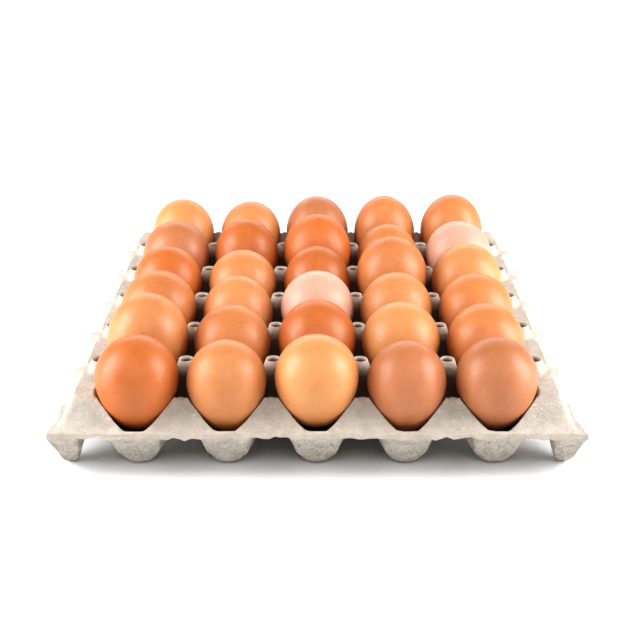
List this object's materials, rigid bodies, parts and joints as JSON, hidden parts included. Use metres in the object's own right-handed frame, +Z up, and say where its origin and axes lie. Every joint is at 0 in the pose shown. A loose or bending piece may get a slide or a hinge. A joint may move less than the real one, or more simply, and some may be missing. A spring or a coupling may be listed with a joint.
{
  "type": "egg tray with eggs",
  "caption": "Open moulded-pulp egg tray, cups in straight rows between hollow-topped posts, filled with brown hen's eggs of uneven size and colour.",
  "frame": {"origin": "centre of the tray in plan, on the surface its feet stand on", "axes": "+Z up, X along the shorter side of the tray, Y along its longer side; the pictured front looks towards -Y"},
  "size_m": [0.289, 0.294, 0.0796],
  "materials": {
    "pulp": "rough moulded pulp, uncoated, warm light grey with fibres and flecks",
    "egg_brown": "deep orange-brown eggshell, low sheen",
    "egg_orange": "orange-brown eggshell, low sheen",
    "egg_golden": "golden tan eggshell, low sheen",
    "egg_peach": "light peach-orange eggshell, low sheen",
    "egg_rose": "pinkish brown eggshell, low sheen",
    "egg_pale": "pale pink-tan eggshell, low sheen"
  },
  "bodies": {
    "root": {"tray": "pulp", "egg_r1_c1": "egg_brown", "egg_r1_c2": "egg_peach", "egg_r1_c3": "egg_golden", "egg_r1_c4": "egg_rose", "egg_r1_c5": "egg_rose", "egg_r2_c1": "egg_peach", "egg_r2_c2": "egg_orange", "egg_r2_c3": "egg_brown", "egg_r2_c4": "egg_golden", "egg_r2_c5": "egg_orange", "egg_r3_c1": "egg_orange", "egg_r3_c2": "egg_peach", "egg_r3_c3": "egg_pale", "egg_r3_c4": "egg_peach", "egg_r3_c5": "egg_orange", "egg_r4_c1": "egg_brown", "egg_r4_c2": "egg_peach", "egg_r4_c3": "egg_brown", "egg_r4_c4": "egg_orange", "egg_r4_c5": "egg_golden", "egg_r5_c1": "egg_rose", "egg_r5_c2": "egg_brown", "egg_r5_c3": "egg_brown", "egg_r5_c4": "egg_orange", "egg_r5_c5": "egg_pale", "egg_r6_c1": "egg_golden", "egg_r6_c2": "egg_peach", "egg_r6_c3": "egg_rose", "egg_r6_c4": "egg_orange", "egg_r6_c5": "egg_orange"}
  },
  "joints": []
}
